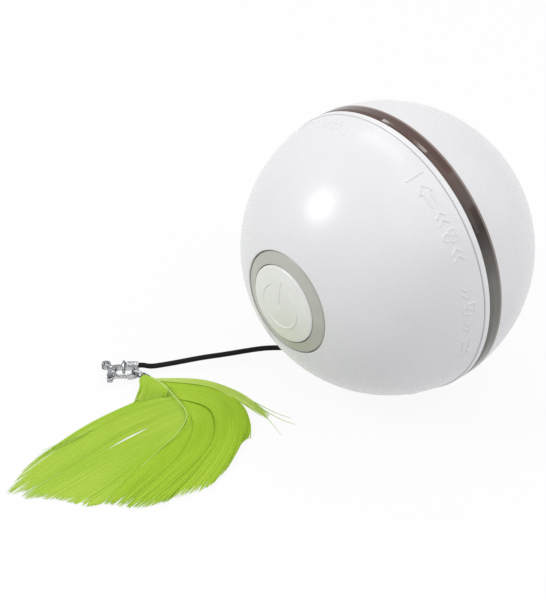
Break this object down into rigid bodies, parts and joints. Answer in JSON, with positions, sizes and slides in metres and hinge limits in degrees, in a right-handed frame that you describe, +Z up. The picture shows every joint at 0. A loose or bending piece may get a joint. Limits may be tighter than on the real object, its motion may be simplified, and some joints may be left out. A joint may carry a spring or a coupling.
{
  "type": "motorised cat ball with a feather tail",
  "caption": "Ball toy for cats that rolls itself: two shells on a twist lock, a smoky light ring, a push button, a weighted motor carriage inside, and a clip-on feather on a cord.",
  "frame": {"origin": "on the floor under the middle of the ball, where the belt touches it", "axes": "+Z up; the axle that the ball rolls about runs along Y with the button facing -Y; +X is to the right when the button is looked at"},
  "size_m": [0.0863, 0.1415, 0.0762],
  "materials": {
    "shell_plastic": "satin",
    "collar_plastic": "satin",
    "smoky_plastic": "gloss",
    "bezel_plastic": "satin",
    "button_plastic": "satin",
    "frame_plastic": "matte",
    "dark_plastic": "matte",
    "gear_plastic": "satin",
    "steel": "satin",
    "brass": "satin",
    "battery_foil": "satin",
    "foam_pad": "matte",
    "board_laminate": "satin",
    "switch_plastic": "satin",
    "lamp_resin": "gloss",
    "red_lead": "matte",
    "black_lead": "matte",
    "black_rubber": "matte",
    "black_cord": "matte",
    "nickel": "polished",
    "quill": "satin",
    "green_feather": "matte"
  },
  "bodies": {
    "front_half": {"front_shell": "shell_plastic", "button_bezel": "bezel_plastic", "button_carrier": "frame_plastic", "carrier_screws": "steel", "button_spring": "steel", "tail_grommet": "black_rubber", "tail_knot": "black_cord", "tail_cord": "black_cord", "cord_crimp": "nickel", "crimp_ring": "nickel", "clasp_body": "nickel", "clasp_pin": "nickel", "feather_ring": "nickel", "feather_cap": "nickel", "feather_quill": "quill", "feather_web": "green_feather"},
    "button": {"power_button": "button_plastic"},
    "rear_half": {"rear_shell": "shell_plastic", "light_ring": "smoky_plastic", "trim_collar": "collar_plastic", "front_bridge": "frame_plastic", "bridge_screws": "steel", "front_bush": "brass", "drive_gear": "gear_plastic", "drive_gear_screws": "steel", "drive_axle": "steel"},
    "pendulum": {"carriage": "dark_plastic", "gear_plate": "dark_plastic", "plate_screws": "steel", "axle_bush": "brass", "motor_can": "steel", "motor_cap": "dark_plastic", "middle_pin": "steel", "battery": "battery_foil", "battery_pad": "foam_pad", "balance_weight": "steel", "circuit_board": "board_laminate", "board_cover": "dark_plastic", "cover_screws": "steel", "switch_body": "dark_plastic", "charge_port": "steel", "lamps": "lamp_resin", "motor_leads": "red_lead", "battery_leads": "black_lead"},
    "switch_plunger": {"switch_cap": "switch_plastic"},
    "output_gears": {"output_wheel": "gear_plastic", "output_pinion": "gear_plastic", "output_shaft": "steel"},
    "middle_gears": {"middle_gear": "gear_plastic"},
    "rotor": {"motor_shaft": "steel", "motor_pinion": "brass"},
    "gate": {"clasp_gate": "nickel"}
  },
  "joints": [
    {"name": "button_press", "type": "slide", "parent": "front_half", "child": "button", "axis": [0, 1, 0], "range_m": [0, 0.0008], "stiffness_N_per_m": 900, "springref_m": -0.0006, "deforming": ["button_spring"]},
    {"name": "twist_lock", "type": "hinge", "parent": "front_half", "child": "rear_half", "pos_m": [0, 0, 0.0381], "axis": [0, 1, 0], "range_deg": [0, 36]},
    {"name": "drive", "type": "hinge", "parent": "rear_half", "child": "pendulum", "pos_m": [0, 0, 0.0381], "axis": [0, 1, 0], "continuous": true},
    {"name": "switch_press", "type": "slide", "parent": "pendulum", "child": "switch_plunger", "axis": [0, 1, 0], "range_m": [0, 0.0008]},
    {"name": "output_spin", "type": "hinge", "parent": "pendulum", "child": "output_gears", "pos_m": [-0.00987, 0, 0.03451], "axis": [0, 1, 0], "continuous": true},
    {"name": "middle_spin", "type": "hinge", "parent": "pendulum", "child": "middle_gears", "pos_m": [-0.00756, 0, 0.0256], "axis": [0, 1, 0], "continuous": true},
    {"name": "rotor_spin", "type": "hinge", "parent": "pendulum", "child": "rotor", "pos_m": [-0.0003, 0, 0.02226], "axis": [0, 1, 0], "continuous": true},
    {"name": "gate_swing", "type": "hinge", "parent": "front_half", "child": "gate", "pos_m": [-0.04247, -0.05891, 0.0019], "axis": [0, 0, 1], "range_deg": [0, 16], "stiffness_Nm_per_rad": 0.002, "springref_deg": -17.19}
  ],
  "couplings": [
    {"joint": "switch_press", "follows": "button_press", "ratio": 1},
    {"joint": "output_spin", "follows": "drive", "ratio": 2.5},
    {"joint": "middle_spin", "follows": "drive", "ratio": -9},
    {"joint": "rotor_spin", "follows": "drive", "ratio": 36}
  ]
}
